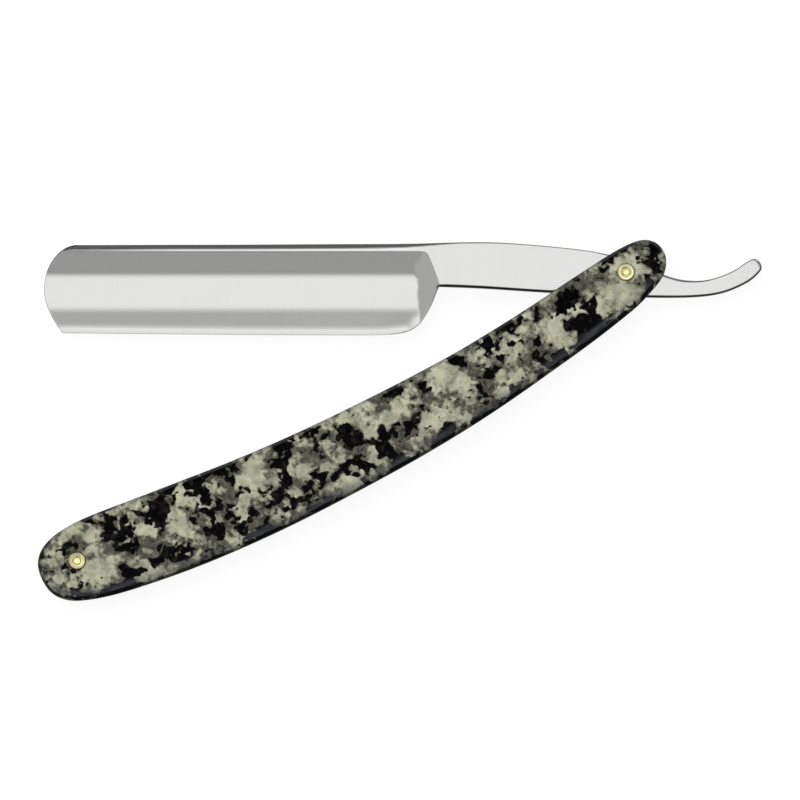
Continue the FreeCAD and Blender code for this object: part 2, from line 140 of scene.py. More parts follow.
def y_at(curve, x):
    """The curve's y at x, for a curve that runs one way in x."""
    order = np.argsort(curve[:, 0])
    return np.interp(x, curve[order, 0], curve[order, 1])


def interp_rows(value, rows, column=1):
    """Interpolates a column of a table whose first column is the place."""
    return np.interp(value, [row[0] for row in rows], [row[column] for row in rows])


def smooth01(x):
    x = np.clip(x, 0.0, 1.0)
    return x * x * (3 - 2 * x)


def fade_out(value, start, length):
    """1 up to start, falling smoothly to 0 over length."""
    return 1 - smooth01((value - start) / length)


def between(value, low, high):
    return (value > low) & (value < high)


def smooth_min(a, b, blend):
    """The smaller of two surfaces, with the crease rounded over about blend."""
    share = np.clip(0.5 + 0.5 * (b - a) / blend, 0, 1)
    return b * (1 - share) + a * share - blend * share * (1 - share)


def edge_distance(points, outline, chunk=4000):
    """Distance from points to an outline, and the place along it (0 to 1)."""
    starts = outline[:-1]
    segments = outline[1:] - starts
    squares = np.maximum((segments**2).sum(1), 1e-12)
    lengths = np.concatenate([[0], np.cumsum(np.sqrt(squares))])
    nearest = np.full(len(points), 1e9)
    place = np.zeros(len(points))
    for low in range(0, len(points), chunk):
        offset = points[low:low + chunk, None, :] - starts[None]
        share = np.clip((offset * segments[None]).sum(2) / squares[None], 0, 1)
        gap = offset - share[..., None] * segments[None]
        distance = np.sqrt((gap**2).sum(2))
        best = distance.argmin(1)
        rows = np.arange(len(best))
        nearest[low:low + chunk] = distance[rows, best]
        along = lengths[best] + share[rows, best] * np.sqrt(squares[best])
        place[low:low + chunk] = along / lengths[-1]
    return nearest, place


# ------------------------------------------------------- grids and meshes
def clustered(middle_count, end_steps, length):
    """Fractions 0..1 with fine steps near both ends."""
    ends = np.array(end_steps) / length
    middle = np.linspace(ends[-1], 1 - ends[-1], middle_count)[1:-1]
    return np.concatenate([ends, middle, 1 - ends[::-1]])


def pull(distance, reach, power):
    """1 at distance 0, falling to 0 at reach."""
    return np.maximum(0.0, 1 - distance / reach)**power


def bend_ends(grid, first, last, first_pull, last_pull):
    """Moves the grid's first and last columns onto two curves, and the columns
    near them by their share of the move."""
    first_move = (first - grid[0])[1:-1]
    last_move = (last - grid[-1])[1:-1]
    grid[:, 1:-1] += first_pull[:, None, None] * first_move
    grid[:, 1:-1] += last_pull[:, None, None] * last_move


def make_mesh(name, verts, faces, attributes):
    mesh = bpy.data.meshes.new(name)
    mesh.from_pydata([tuple(map(float, vert)) for vert in verts], [], faces)
    mesh.validate()
    work = bmesh.new()
    work.from_mesh(mesh)
    bmesh.ops.recalc_face_normals(work, faces=work.faces)
    work.to_mesh(mesh)
    work.free()
    for key, values in attributes.items():
        attribute = mesh.attributes.new(key, "FLOAT", "POINT")
        attribute.data.foreach_set("value", np.asarray(values, dtype=np.float32))
    for polygon in mesh.polygons:
        polygon.use_smooth = True
    mesh.update()
    piece = bpy.data.objects.new(name, mesh)
    bpy.context.scene.collection.objects.link(piece)
    return piece


def patch_solid(name, grid, z_top, z_bottom, wall_rows, attributes):
    """A closed solid from a plan grid whose border is the outline.  wall_rows
    are fractions from the top rim to the bottom rim; attributes holds pairs of
    values for the top and the bottom face."""
    columns, rows = grid.shape[:2]
    top = np.arange(columns * rows).reshape(columns, rows)
    bottom = top + columns * rows
    border = ([(i, 0) for i in range(columns)]
              + [(columns - 1, j) for j in range(1, rows)]
              + [(i, rows - 1) for i in range(columns - 2, -1, -1)]
              + [(0, j) for j in range(rows - 2, 0, -1)])
    top_rim = np.array([top[i, j] for i, j in border])
    bottom_rim = np.array([bottom[i, j] for i, j in border])
    count = len(border)

    def with_walls(upper, lower):
        values = np.concatenate([upper.reshape(-1), lower.reshape(-1)])
        walls = [values[top_rim] * (1 - w) + values[bottom_rim] * w for w in wall_rows]
        return np.concatenate([values] + walls)

    faces = []
    for i in range(columns - 1):
        for j in range(rows - 1):
            faces.append((top[i, j], top[i + 1, j], top[i + 1, j + 1], top[i, j + 1]))
            faces.append((bottom[i, j], bottom[i, j + 1], bottom[i + 1, j + 1], bottom[i + 1, j]))
    first = 2 * columns * rows
    rings = [top_rim]
    rings += [first + k * count + np.arange(count) for k in range(len(wall_rows))]
    rings.append(bottom_rim)
    for upper, lower in zip(rings, rings[1:]):
        for k in range(count):
            after = (k + 1) % count
            faces.append((upper[k], lower[k], lower[after], upper[after]))
    faces = [tuple(int(index) for index in face) for face in faces]
    flat = grid.reshape(-1, 2)
    plan = np.concatenate([flat, flat] + [flat[top_rim]] * len(wall_rows))
    verts = to_row(np.column_stack([plan, with_walls(z_top, z_bottom)]))
    return make_mesh(name, verts, faces,
                     {key: with_walls(*pair) for key, pair in attributes.items()})


def register(piece, part, node):
    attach(piece, part)
    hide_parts(node)


# ----------------------------------------------------------- blade outline
# Points are (x, y); the six curves run once round, from the spine's toe end.
TAIL_TIP_TOP = (27.21, 2.80)
TAIL_TIP_LOW = (29.05, 0.34)
HEEL_CORNER = (-40.0, -3.16)
EDGE_HEEL = (-56.0, -13.53)
TOE = (-120.70, -13.06)
NOSE_TOP = (-117.60, 5.80)
spine = smooth_curve(
    [NOSE_TOP, (-100.0, 5.85), (-80.0, 5.90), (-60.0, 6.01), (-44.0, 6.13),
     (-36.2, 6.35), (-29.0, 6.38), (-21.5, 5.97), (-14.5, 5.35), (-8.5, 4.66),
     (-4.0, 3.85), (0.2, 2.72), (4.2, 1.16), (8.2, -0.52), (11.5, -1.52),
     (14.6, -1.84), (17.6, -1.65), (21.0, -0.66), (24.3, 0.96), (26.2, 2.26), TAIL_TIP_TOP],
    start=(1.0, 0.0), end=(0.80, 0.52))
tip = smooth_curve(
    [TAIL_TIP_TOP, (27.95, 2.84), (28.70, 2.30), (29.18, 1.40), TAIL_TIP_LOW],
    start=(0.80, 0.30), end=(-0.60, -0.80), step=0.05)
under = smooth_curve(
    [TAIL_TIP_LOW, (27.2, -1.55), (24.6, -3.07), (21.6, -4.29), (17.6, -5.12),
     (13.0, -5.45), (8.0, -5.49), (2.0, -5.37), (-6.0, -5.02), (-14.0, -4.56),
     (-22.0, -4.08), (-31.0, -3.50), HEEL_CORNER],
    start=(-0.60, -0.80), end=(-1.0, 0.03))
heel = smooth_curve(
    [HEEL_CORNER, (-40.72, -5.0), (-41.52, -6.95), (-42.62, -8.95), (-44.10, -11.05),
     (-46.0, -12.45), (-49.0, -13.24), (-52.3, -13.48), EDGE_HEEL],
    start=(-0.35, -0.94), end=(-1.0, 0.0))
edge = smooth_curve([EDGE_HEEL, (-77.4, -13.46), (-98.8, -13.29), TOE],
                    start=(-1.0, 0.0), end=(-1.0, 0.0115))
nose = smooth_curve(
    [TOE, (-122.30, -10.85), (-123.55, -8.55), (-124.40, -6.20), (-124.69, -3.95),
     (-124.50, -1.60), (-123.85, 0.60), (-122.60, 2.82), (-120.90, 4.55), (-119.20, 5.50),
     NOSE_TOP],
    start=(-0.60, 0.80), end=(1.0, 0.0))
BLADE_CURVES = (spine, tip, under, heel, edge, nose)
SPINE, TIP, UNDER, HEEL, EDGE, NOSE = range(6)
blade_outline = joined(BLADE_CURVES)
blade_stops = stops_of(BLADE_CURVES)
blade_bottom = joined([edge[::-1], heel[::-1], under[::-1]])     # toe to tail tip
low_edge = joined([heel[int(len(heel) * 0.62):], edge])          # low heel and cutting edge


def place_at(curve, fraction):
    """The place along the blade's outline at a fraction of one of its curves."""
    return blade_stops[curve] + (blade_stops[curve + 1] - blade_stops[curve]) * fraction


def spine_place(x):
    """The place along the blade's outline where the spine passes x."""
    return place_at(SPINE, fractions_of(spine)[np.argmin(np.abs(spine[:, 0] - x))])


# --------------------------------------------------------- blade thickness
# The flat sides' half thickness: (x, half thickness, slope)
TAPER = [
    (-46.0, 2.70, 0.0), (-39.0, 2.55, -0.0225), (-19.0, 2.10, -0.0225), (-7.5, 1.70, 0.0),
    (6.5, 1.70, 0.0), (14.0, 1.25, -0.22 / 17), (31.0, 1.03, -0.22 / 17),
]
# The hollow's section: (y, slope of the ground face in degrees), from the honed
# bevel up.  Above the last entry the face is an arc of the grinding wheel.
HOLLOW_RADIUS, HOLLOW_CENTRE = 25.6, -6.80
SLOPES = [
    (-13.60, 12.5), (-12.66, 12.0), (-12.44, -0.9), (-11.98, -1.5), (-11.55, -1.92),
    (-11.10, -2.25), (-9.00, -2.25), (-8.55, -1.98), (-8.10, -1.46), (-7.70, -1.0),
    (-7.30, -0.55), (HOLLOW_CENTRE, 0.0),
]
EDGE_Y, EDGE_HALF = -13.46, 0.03        # the cutting edge's height and half thickness
hollow_y = np.linspace(SLOPES[0][0], HOLLOW_CENTRE, 1400)
_degrees = interp_rows(hollow_y, SLOPES)
_rises = np.tan(np.radians((_degrees[1:] + _degrees[:-1]) / 2)) * np.diff(hollow_y)
hollow_low = np.concatenate([[0.0], np.cumsum(_rises)])
hollow_low = hollow_low - np.interp(EDGE_Y, hollow_y, hollow_low) + EDGE_HALF
WEB = hollow_low[-1]

# The wheel's run-out before the tang
RUN_LENGTH, RUN_DEPTH = 7.0, 2.35
RUN_RADIUS = (RUN_LENGTH**2 + RUN_DEPTH**2) / (2 * RUN_DEPTH)


def taper_half(x):
    """Half thickness of the flat sides along the razor."""
    x = np.asarray(x, float)
    half = np.full(x.shape, TAPER[0][1])
    for (x0, half0, slope0), (x1, half1, slope1) in zip(TAPER, TAPER[1:]):
        t = (x - x0) / (x1 - x0)
        span = hermite(t, x1 - x0, half0, slope0, half1, slope1)
        half = np.where((t >= 0) & (t <= 1), span, half)
    return half


def hollow_half(y):
    """Half thickness of the hollow-ground face at height y."""
    low = np.interp(y, hollow_y, hollow_low)
    rise = np.clip(y - HOLLOW_CENTRE, 0, HOLLOW_RADIUS * 0.995)
    high = WEB + HOLLOW_RADIUS - np.sqrt(HOLLOW_RADIUS**2 - rise**2)
    return np.where(y < HOLLOW_CENTRE, low, high)


def body_half(x, y):
    """Half thickness of the blade before its edges are broken."""
    flat = taper_half(x)
    # near the edge, height is measured from the edge so the bevel follows its curve
    from_edge, _ = edge_distance(np.column_stack([x, y]), low_edge)
    ground_y = y + (EDGE_Y + from_edge - y) * smooth01((-8.5 - y) / 3.0)
    hollow = hollow_half(ground_y)
    # the run-out starts on a slanting line and climbs on an arc
    shoulder = -42.3 + (4.0 - np.clip(y, -6.4, 4.3)) * 0.355
    into_run = np.clip(x - (shoulder - RUN_LENGTH), 0, RUN_RADIUS * 0.8)
    run = RUN_RADIUS - np.sqrt(RUN_RADIUS**2 - into_run**2)
    # the crease between hollow and run-out softens where the hollow is thicker
    soft = np.clip(hollow - 0.3, 0, 0.9) * (1 - 0.55 * smooth01((hollow - 1.2) / 1.6))
    blend = 0.16 * smooth01(into_run / 3.2) + 1.4 * soft * smooth01(into_run / 4.4) + 0.001
    ground = -smooth_min(-hollow, -run * flat / RUN_DEPTH, blend)
    return np.maximum(smooth_min(flat, ground, 0.06), 0.02)


# The broken edge round the outline: (place, width, slope at its start, how much
# it steepens by the rim), slopes as rise over run
BREAK = [
    (spine_place(-117.6), 0.90, .23, .35), (spine_place(-61.0), 0.95, .23, .35),
    (spine_place(-48.3), 0.77, .23, .35), (spine_place(-43.0), 0.52, .23, .38),
    (spine_place(-39.5), 0.32, .20, .40), (spine_place(-35.0), 0.20, .16, .30),
    (spine_place(-18.0), 0.15, .14, .26), (spine_place(-6.0), 0.15, .14, .26),
    (spine_place(1.0), 0.42, .34, .45), (spine_place(12.0), 0.40, .34, .45),
    (spine_place(15.5), 0.32, .30, .45), (spine_place(19.0), 0.18, .22, .35),
    (spine_place(27.0), 0.15, .20, .35), (place_at(TIP, 0.50), 0.30, .30, .40),
    (place_at(UNDER, 0.02), 0.45, .48, .34), (place_at(UNDER, 0.30), 0.52, .50, .34),
    (place_at(UNDER, 0.60), 0.55, .50, .34), (place_at(UNDER, 0.98), 0.62, .50, .34),
    (place_at(UNDER, 1.00), 0.50, .50, .34), (place_at(HEEL, 0.03), 0.30, .45, .45),
    (place_at(HEEL, 0.38), 0.24, .45, .45), (place_at(HEEL, 0.68), 0.14, .30, .50),
    (place_at(EDGE, 0.00), 0.05, .30, .40), (place_at(EDGE, 1.00), 0.05, .30, .40),
    (place_at(NOSE, 0.08), 0.16, .40, .50), (place_at(NOSE, 0.22), 0.14, .40, .50),
    (place_at(NOSE, 0.36), 0.05, .10, .20), (place_at(NOSE, 0.56), 0.05, .10, .20),
    (place_at(NOSE, 0.68), 0.22, .34, .45), (place_at(NOSE, 0.84), 0.36, .30, .45),
    (place_at(NOSE, 1.00), 0.88, .23, .35),
]


def blade_surface(points):
    """Half thickness, edge distance, place along the outline and width of the
    broken edge at plan points."""
    distance, place = edge_distance(points, blade_outline)
    half = body_half(points[:, 0], points[:, 1])
    width, slope, steepening = (interp_rows(place, BREAK, column) for column in (1, 2, 3))
    width = np.minimum(width, half * 0.80 / (slope + steepening))
    share = np.clip((width - distance) / np.maximum(width, 1e-6), 0, 1)
    half = half - width * (slope * share + steepening * share**2)
    return half, distance, place, width


# -------------------------------------------------------------- blade mesh
NOSE_STEPS = np.array([0, .05, .12, .22, .36, .55, .8, 1.15, 1.6, 2.2, 2.9, 3.7, 4.6, 5.6,
                       6.6, 7.6])
TAIL_SHARES = np.array([1.0, .86, .72, .60, .49, .39, .30, .22, .155, .10, .055, .022, 0.0])
BLADE_RIM_STEPS = np.array([0, .03, .08, .15, .24, .35, .48, .62, .78, .95, 1.12])


def blade_grid():
    """Columns run from the bottom outline up to the spine, toe to tail; they are
    fine at the nose, the shoulder and the tail tip."""
    middle = np.concatenate([np.linspace(-112.4, -47.0, 120), np.arange(-46.6, -38.9, 0.14),
                             np.linspace(-38.6, 22.5, 118)])
    low_x = np.concatenate([TOE[0] + NOSE_STEPS, middle])
    top_x = np.concatenate([NOSE_TOP[0] + NOSE_STEPS * 0.60, middle])
    # put a column on the concave heel corner
    low_x[np.argmin(np.abs(low_x - HEEL_CORNER[0]))] = HEEL_CORNER[0]
    low_x = np.concatenate([low_x, TAIL_TIP_LOW[0] - TAIL_SHARES * (TAIL_TIP_LOW[0] - 23.0)])
    top_x = np.concatenate([top_x, TAIL_TIP_TOP[0] - TAIL_SHARES * (TAIL_TIP_TOP[0] - 22.9)])
    low = np.column_stack([low_x, y_at(blade_bottom, low_x)])
    top = np.column_stack([top_x, y_at(spine, top_x)])
    low[0], top[0] = TOE, NOSE_TOP
    low[-1], top[-1] = TAIL_TIP_LOW, TAIL_TIP_TOP
    heights = np.linalg.norm(top - low, axis=1)
    shares = np.array([clustered(116, BLADE_RIM_STEPS * min(1.0, height / 8.0), height)
                       for height in heights])
    t = shares[..., None]
    grid = low[:, None] * (1 - t) + top[:, None] * t
    bend_ends(grid, points_at(nose, shares[0]), points_at(tip[::-1], shares[-1]),
              pull(low_x - low_x[0], reach=8.3, power=1.3),
              pull(low_x[-1] - low_x, reach=6.1, power=1.3))
    return grid


def blade_finish(x, y, half, distance, place, width):
    """Attributes for the steel: a painted highlight brightens the flat beside the spine,
    band greys the broken edge of the spine, low paints shade on the other rims."""
    flat_half = taper_half(x)
    # painted highlight: the flat beside the spine is brightened towards white, standing in for a
    # reflection
    painted_spine_highlight = np.where((x < -41.0) & (y > 4.0) & (distance > width * 0.9)
                    & (half > flat_half - 0.03), 1.0, 0.0) * smooth01((-41.5 - x) / 7.0)
    band = np.where((place < spine_place(-38.0)) & (distance < 2.0),
                    fade_out(distance, width * 0.7, width * 0.5 + 1e-6), 0.0)

    def rim(first, last, start, length):
        return np.where(between(place, first, last), fade_out(distance, start, length), 0.0)

    tail_top = rim(spine_place(-2.0), spine_place(22.0), width * 0.6, 0.14)
    # painted shade: the painted highlight beside the spine fades towards the nose
    toe_painted_shade = np.where((y > 4.0) & (distance > width * 0.85) & (half > flat_half - 0.05),
                        0.68 * np.clip((-95.0 - x) / 24.0, 0, 1), 0.0)
    # painted shade: low darkens the rims of the tail, under edge, heel and nose, and fades the
    # painted highlight towards the nose
    low = np.maximum.reduce([
        rim(place_at(TIP, 0.35), place_at(HEEL, 0.02), width * 0.75, 0.19),
        tail_top * 0.75 * fade_out(x, 12.0, 5.0),
        rim(place_at(NOSE, 0.60), place_at(NOSE, 0.97), 0.10, 0.22) * 0.6,
        rim(place_at(HEEL, 0.015), place_at(HEEL, 0.75), 0.10, 0.14) * 0.55,
        toe_painted_shade,
        rim(place_at(NOSE, 0.80), np.inf, 0.16, 0.28) * 0.75,
    ])
    return {"painted_spine_highlight": (painted_spine_highlight, painted_spine_highlight), "band": (band, band), "low": (low, low)}


def build_blade():
    grid = blade_grid()
    surface = [values.reshape(grid.shape[:2]) for values in blade_surface(grid.reshape(-1, 2))]
    half = surface[0]
    finish = blade_finish(grid[..., 0], grid[..., 1], *surface)
    piece = patch_solid("blade_steel", grid, half, -half, [0.12, 0.3, 0.5, 0.7, 0.88], finish)
    register(piece, "blade", "blade")
    return piece


blade = build_blade()

# ------------------------------------------------------------------- scales
# The outline of both scales in handle coordinates, once round from the pivot end
# along the concave side to the wedge end and back along the convex side.
PIVOT_END = (-9.26, 0.0)
CONCAVE_MID = (51.0, -1.55)
WEDGE_END = (141.32, 0.6)
CONVEX_MID = (75.0, 14.92)
SCALE_CURVES = (
    smooth_curve(
        [PIVOT_END, (-8.95, -1.9), (-7.9, -3.45), (-6.0, -4.52), (-3.2, -4.97), (0.5, -4.96),
         (6.0, -4.50), (13.0, -3.79), (21.0, -3.01), (30.0, -2.27), (40.0, -1.70), CONCAVE_MID],
        start=(0.0, -1.0), end=(1.0, 0.0)),
    smooth_curve(
        [CONCAVE_MID, (62.0, -1.70), (73.0, -2.02), (84.0, -2.65), (95.0, -3.60),
         (106.0, -4.86), (117.0, -6.15), (124.0, -7.00), (128.5, -7.36), (132.5, -7.28),
         (136.0, -6.66), (138.8, -5.30), (140.6, -3.15), WEDGE_END],
        start=(1.0, 0.0), end=(0.0, 1.0)),
    smooth_curve(
        [WEDGE_END, (141.03, 3.0), (140.05, 5.0), (138.0, 6.97), (134.9, 8.48),
         (130.0, 10.02), (123.0, 11.43), (114.0, 12.80), (102.0, 14.02), (88.0, 14.77),
         CONVEX_MID],
        start=(0.0, 1.0), end=(-1.0, 0.0)),
    smooth_curve(
        [CONVEX_MID, (60.0, 14.73), (48.0, 14.15), (36.0, 13.08), (24.0, 11.53),
         (12.0, 9.80), (5.0, 8.52), (0.0, 7.34), (-3.6, 6.02), (-6.6, 4.55), (-8.5, 2.50),
         PIVOT_END],
        start=(-1.0, 0.0), end=(0.0, -1.0)),
)
scale_outline = joined(SCALE_CURVES)
_, CONCAVE_STOP, WEDGE_STOP, _, PIVOT_STOP = stops_of(SCALE_CURVES)
# The inner face's height above the middle plane: (along the chord, height)
BOW = smooth_curve(
    [(7.0, 2.0), (13.0, 2.13), (20.0, 2.29), (32.0, 2.53), (44.0, 2.65), (56.0, 2.62),
     (70.0, 2.44), (84.0, 2.18), (98.0, 1.82), (110.0, 1.48), (118.0, 1.27), (124.0, 1.20)],
    start=(1, 0), end=(1, 0), step=0.25)
# The rounding of the outer face, broad on the convex back and tighter on the
# concave side: (place along the outline, width) and (place, depth)
ROUND_WIDTH = [
    (0, 1.7), (CONCAVE_STOP * .15, 1.5), (CONCAVE_STOP * .4, 1.35), (WEDGE_STOP * .85, 1.35),
    (WEDGE_STOP, 1.7), (WEDGE_STOP + .06, 2.6), (PIVOT_STOP - .08, 2.6), (1.0, 1.7),
]
ROUND_DEPTH = [
    (0, 1.3), (CONCAVE_STOP * .4, 1.15), (WEDGE_STOP * .85, 1.15), (WEDGE_STOP, 1.35),
    (WEDGE_STOP + .06, 1.65), (PIVOT_STOP - .08, 1.65), (1.0, 1.3),
]
INNER_ROUND = 0.30
CROWN = 0.16
SCALE_RIM_STEPS = np.array([0, .05, .12, .22, .34, .48, .64, .82, 1.02, 1.25, 1.5, 1.8, 2.15])
CORNER_X = (-4.6, 135.0)        # where the grid's corners sit on the outline
GRID_LENGTH = 140.0


def bow(along):
    return np.interp(along, BOW[:, 0], BOW[:, 1])


def corner_index(curve, x, elsewhere):
    """The point of the curve nearest x, leaving out the part marked elsewhere."""
    return np.argmin(np.abs(curve[:, 0] - x) + elsewhere * 50)


def scale_grid():
    """Handle-frame grid of a scale: rows from the concave edge to the convex back."""
    concave = joined(SCALE_CURVES[:2])
    convex = joined(SCALE_CURVES[2:])[::-1]
    low0 = corner_index(concave, CORNER_X[0], np.abs(concave[:, 1] + 4.8) > 0.6)
    low1 = corner_index(concave, CORNER_X[1], concave[:, 1] > -5.5)
    top0 = corner_index(convex, CORNER_X[0], convex[:, 1] < 4.5)
    top1 = corner_index(convex, CORNER_X[1], convex[:, 1] < 7.5)
    pivot_end = joined([concave[:low0 + 1][::-1], convex[:top0 + 1]])
    wedge_end = joined([concave[low1:], convex[top1:][::-1]])
    shares = clustered(300, SCALE_RIM_STEPS, GRID_LENGTH)
    low = points_at(concave[low0:low1 + 1], shares)
    top = points_at(convex[top0:top1 + 1], shares)
    heights = np.linalg.norm(top - low, axis=1)
    across = np.array([clustered(46, SCALE_RIM_STEPS, height) for height in heights])
    t = across[..., None]
    grid = low[:, None] * (1 - t) + top[:, None] * t
    bend_ends(grid, points_at(pivot_end, across[0]), points_at(wedge_end, across[-1]),
              pull(shares * GRID_LENGTH, reach=9.0, power=1.2),
              pull((1 - shares) * GRID_LENGTH, reach=11.0, power=1.2))
    return grid


def round_over(distance, width, depth):
    share = np.clip(1 - distance / width, 0, 1)
    return depth * (1 - np.sqrt(np.maximum(1 - share**2, 0)))


def build_scales():
    grid = scale_grid()
    shape = grid.shape[:2]
    points = grid.reshape(-1, 2)
    distance, place = edge_distance(points, scale_outline)
    crown = CROWN * fade_out(distance, 0, 7.0)
    # keep the faces flat under the washers
    for pin in (PIVOT_PIN, WEDGE_PIN):
        from_pin = np.hypot(points[:, 0] - pin, points[:, 1])
        crown = crown * smooth01((from_pin - 2.2) / 3.0)
    rounding = round_over(distance, interp_rows(place, ROUND_WIDTH),
                          interp_rows(place, ROUND_DEPTH))
    inner = bow(points[:, 0])
    outer = (inner + SCALE_THICKNESS - (rounding + crown)).reshape(shape)
    inner = (inner + round_over(distance, INNER_ROUND, INNER_ROUND)).reshape(shape)
    rim = distance.reshape(shape)
    # 1 on the convex side and round both ends, 0 along the concave side
    convex = (smooth01((place - (WEDGE_STOP - 0.030)) / 0.02)
              * fade_out(place, PIVOT_STOP - 0.035, 0.02)).reshape(shape)
    along = (place * curve_length(scale_outline)).reshape(shape)
    # the inner face's rim value is far from any rim
    attributes = {"rim": (rim, np.full(shape, 9.0)), "convex": (convex, convex),
                  "along": (along, along)}
    pieces = []
    for node, side in (("front_scale", 1), ("back_scale", -1)):
        piece = patch_solid(node + "_acrylic", handle_to_plan(grid), outer * side,
                            inner * side, [0.25, 0.5, 0.75], attributes)
        register(piece, "handle", node)
        pieces.append(piece)
    return pieces


scales = build_scales()

# --------------------------------------------------------- pins and washers
BASE_HEIGHT, DOME_HEIGHT, HEAD_HEIGHT = 0.30, 0.32, 0.35
BASE_RADIUS, BORE, SHANK = 1.75, 0.78, 0.75
# The peened head's top: (radius, drop below its top), for a head of PLAIN_HEAD radius
PLAIN_HEAD = 0.85
HEAD_CURVE = [(0.0, 0.0), (0.18, 0.002), (0.36, 0.007), (0.50, 0.015), (0.60, 0.028),
              (0.67, 0.052), (0.73, 0.100), (0.78, 0.180)]
# (name, along the chord, dome radius, head radius, dome's lip radius, dark rings
# at the grooves, tarnished and with painted shade, as (radius, half width, strength))
FITTINGS = (
    ("pivot", PIVOT_PIN, 1.22, 0.85, 0.83, ((1.24, 0.05, 0.20), (0.96, 0.07, 1.0))),
    ("wedge", WEDGE_PIN, 1.38, 0.95, 0.86, ((1.40, 0.09, 1.0), (0.93, 0.11, 0.9))),
)


def crowned(start, end, bulge=-0.012, count=14):
    """A shallow arc from start to end; bulge is positive to the left."""
    start, end = np.array(start, float), np.array(end, float)
    t = np.linspace(0, 1, count)[:, None]
    run = end - start
    normal = np.array([-run[1], run[0]]) / np.linalg.norm(run)
    return [tuple(p) for p in start * (1 - t) + end * t + normal * bulge * 4 * t * (1 - t)]


def lathe(name, profile, along, side, rings, closed=True, reshape=None, segments=96):
    """A turned solid about a pin's axis.  profile lists (radius, height); a closed
    one makes a ring, an open one starts and ends on the axis.  reshape moves a
    point given its radius, height and angle; rings darken the grooves, tarnished
    metal with painted shade."""
    centre = handle_to_plan(np.array([along, 0.0]))
    verts, rows = [], []
    for radius, z in profile:
        if radius < 1e-6:
            rows.append([len(verts)])
            verts.append((centre[0], centre[1], z * side))
            continue
        rows.append(list(range(len(verts), len(verts) + segments)))
        for k in range(segments):
            angle = 2 * math.pi * k / segments
            r, height = reshape(radius, z, angle) if reshape else (radius, z)
            verts.append((centre[0] + r * math.cos(angle), centre[1] + r * math.sin(angle),
                          height * side))
    faces = []
    for a, b in list(zip(rows, rows[1:])) + ([(rows[-1], rows[0])] if closed else []):
        for k in range(segments):
            after = (k + 1) % segments
            if len(a) == 1:
                faces.append((a[0], b[k], b[after]))
            elif len(b) == 1:
                faces.append((a[k], b[0], a[after]))
            else:
                faces.append((a[k], b[k], b[after], a[after]))
    verts = np.array(verts)
    radii = np.hypot(verts[:, 0] - centre[0], verts[:, 1] - centre[1])
    groove_tarnish_and_shade = np.zeros(len(radii))
    for radius, half_width, strength in rings:
        groove_tarnish_and_shade = np.maximum(groove_tarnish_and_shade, strength * fade_out(np.abs(radii - radius), 0, half_width))
    return make_mesh(name, to_row(verts), faces, {"groove_tarnish_and_shade": groove_tarnish_and_shade})


def base_profile(z, dome_radius):
    """Base washer: flat underneath, gently crowned, with a rolled rim."""
    top = z + BASE_HEIGHT
    return [(BORE, z), (1.70, z), (1.748, z + 0.05), (BASE_RADIUS, z + 0.10),
            (1.725, z + 0.16), (BASE_RADIUS - 0.10, z + 0.20),
            *crowned((1.62, z + 0.25), (dome_radius + 0.02, top)), (BORE, top)]


def dome_profile(z, dome_radius, lip):
    """Dome washer: smaller, on top of the base washer."""
    top = z + DOME_HEIGHT
    return [(BORE, z), (dome_radius - 0.02, z), (dome_radius, z + 0.03),
            (dome_radius - 0.005, z + 0.15),
            *crowned((dome_radius - 0.05, z + 0.235), (lip + 0.10, top - 0.01)),
            (lip + 0.03, top), (BORE, top)]


def pin_profile(z, head_radius):
    """The whole pin, with a head above z and its mirror image below -z."""
    ratio = head_radius / PLAIN_HEAD
    half = [(radius * ratio, z + HEAD_HEIGHT - drop) for radius, drop in HEAD_CURVE]
    half += [(head_radius - 0.03, z + 0.09), (head_radius, z + 0.02), (head_radius - 0.02, z),
             (SHANK, z)]
    shank = [(SHANK, z * 0.5), (SHANK, 0.0), (SHANK, -z * 0.5)]
    return half + shank + [(radius, -height) for radius, height in half[::-1]]


def hammered(along, head_radius, head_z):
    """Reshapes the heads: a little flat in places and not quite round."""
    def reshape(radius, z, angle):
        if abs(z) < head_z + 0.02:
            return radius, z
        share = radius / head_radius
        uneven = 0.030 * math.cos(5 * angle + along) + 0.018 * math.cos(3 * angle + 1.0 + along)
        dent = 0.016 * (0.5 + 0.5 * math.cos(4 * angle + 0.7)) * share**2
        return radius * (1 + uneven * min(1.0, share)), z - math.copysign(dent, z)
    return reshape


def build_fittings():
    pieces = []
    for tag, along, dome_radius, head_radius, lip, rings in FITTINGS:
        seat = bow(along) + SCALE_THICKNESS
        dome_z = seat + BASE_HEIGHT
        head_z = dome_z + DOME_HEIGHT
        washers = (("base", base_profile(seat, dome_radius)),
                   ("dome", dome_profile(dome_z, dome_radius, lip)))
        for where, side in (("front", 1), ("back", -1)):
            for kind, profile in washers:
                node = f"{tag}_{kind}_washer_{where}"
                piece = lathe(node + "_brass", profile, along, side, rings)
                register(piece, "handle", node)
                pieces.append(piece)
        node = tag + "_pin"
        piece = lathe(node + "_brass", pin_profile(head_z, head_radius), along, 1, rings,
                      closed=False, reshape=hammered(along, head_radius, head_z))
        register(piece, "handle", node)
        pieces.append(piece)
    return pieces


brass_pieces = build_fittings()


